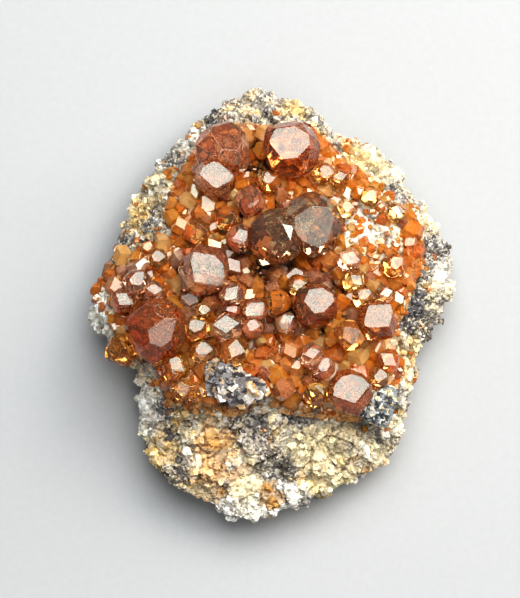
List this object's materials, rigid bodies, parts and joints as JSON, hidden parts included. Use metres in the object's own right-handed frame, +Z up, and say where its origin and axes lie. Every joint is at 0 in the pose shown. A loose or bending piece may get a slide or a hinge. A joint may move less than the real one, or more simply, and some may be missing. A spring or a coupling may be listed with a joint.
{
  "type": "garnet in matrix mineral specimen",
  "caption": "Natural mineral specimen: orange-brown garnet crystals crowded over the top of a pale rock with a flat underside.",
  "frame": {"origin": "on the resting plane, under the middle of the specimen's bounding box", "axes": "+Z up, +Y from the low bare end to the end with the two crown crystals (longest), +X to the right seen from the low end"},
  "size_m": [0.061, 0.072, 0.0269],
  "materials": {
    "rock": "rough cream feldspar with grey quartz grains",
    "small_garnet": "sparkling crust of small faceted crystals",
    "garnet_deep": "glossy natural crystal faces, deep red-brown",
    "garnet_brown": "glossy natural crystal faces, brown",
    "garnet_smoky": "glossy natural crystal faces, smoky with veils",
    "garnet_orange": "glossy natural crystal faces, orange",
    "garnet_amber": "glossy natural crystal faces, amber yellow",
    "smoky_mineral": "dark flaky plates with a glassy sheen",
    "blue_quartz": "blue-grey broken quartz"
  },
  "bodies": {
    "root": {"matrix": "rock", "small_garnet_crust": "small_garnet", "garnet_left_shoulder": "garnet_deep", "garnet_smoky_pair": "garnet_smoky", "garnet_crown_right": "garnet_deep", "garnet_crown_left": "garnet_brown", "garnet_pale_face": "garnet_brown", "garnet_middle": "garnet_deep", "garnet_front_right": "garnet_deep", "garnet_crown_front": "garnet_brown", "garnet_striped": "garnet_deep", "garnet_left_edge": "garnet_orange", "garnet_neck": "garnet_brown", "garnet_centre_left": "garnet_brown", "garnet_foot": "garnet_orange", "garnet_right_round": "garnet_orange", "garnet_hub": "garnet_amber", "garnet_waist": "garnet_brown", "garnet_left_foot": "garnet_orange", "garnet_pentagon": "garnet_orange", "garnet_row": "garnet_orange", "garnet_bright_pair": "garnet_brown", "garnet_left_lobe": "garnet_brown", "garnet_pearl": "garnet_brown", "garnet_tan": "garnet_orange", "garnet_right_lilac": "garnet_brown", "garnet_right_far": "garnet_amber", "garnet_right_near": "garnet_orange", "garnet_front_pair": "garnet_brown", "garnet_front_flat": "garnet_orange", "garnet_knuckle": "garnet_orange", "garnet_left_toe": "garnet_orange", "garnet_bead": "garnet_orange", "garnet_bud": "garnet_brown", "garnet_hub_low": "garnet_brown", "garnet_hub_high": "garnet_amber", "garnet_long_amber": "garnet_amber", "garnet_dark_bar": "garnet_deep", "garnet_yellow_ball": "garnet_amber", "garnet_yellow_foot": "garnet_amber", "garnet_far_right_pair": "garnet_orange", "garnet_rim_row": "garnet_orange", "garnet_rim_amber": "garnet_amber", "garnet_beside_smoky": "garnet_orange", "garnet_left_step": "garnet_brown", "garnet_left_high": "garnet_orange", "smoky_plate": "smoky_mineral", "quartz_chip": "blue_quartz"}
  },
  "joints": []
}
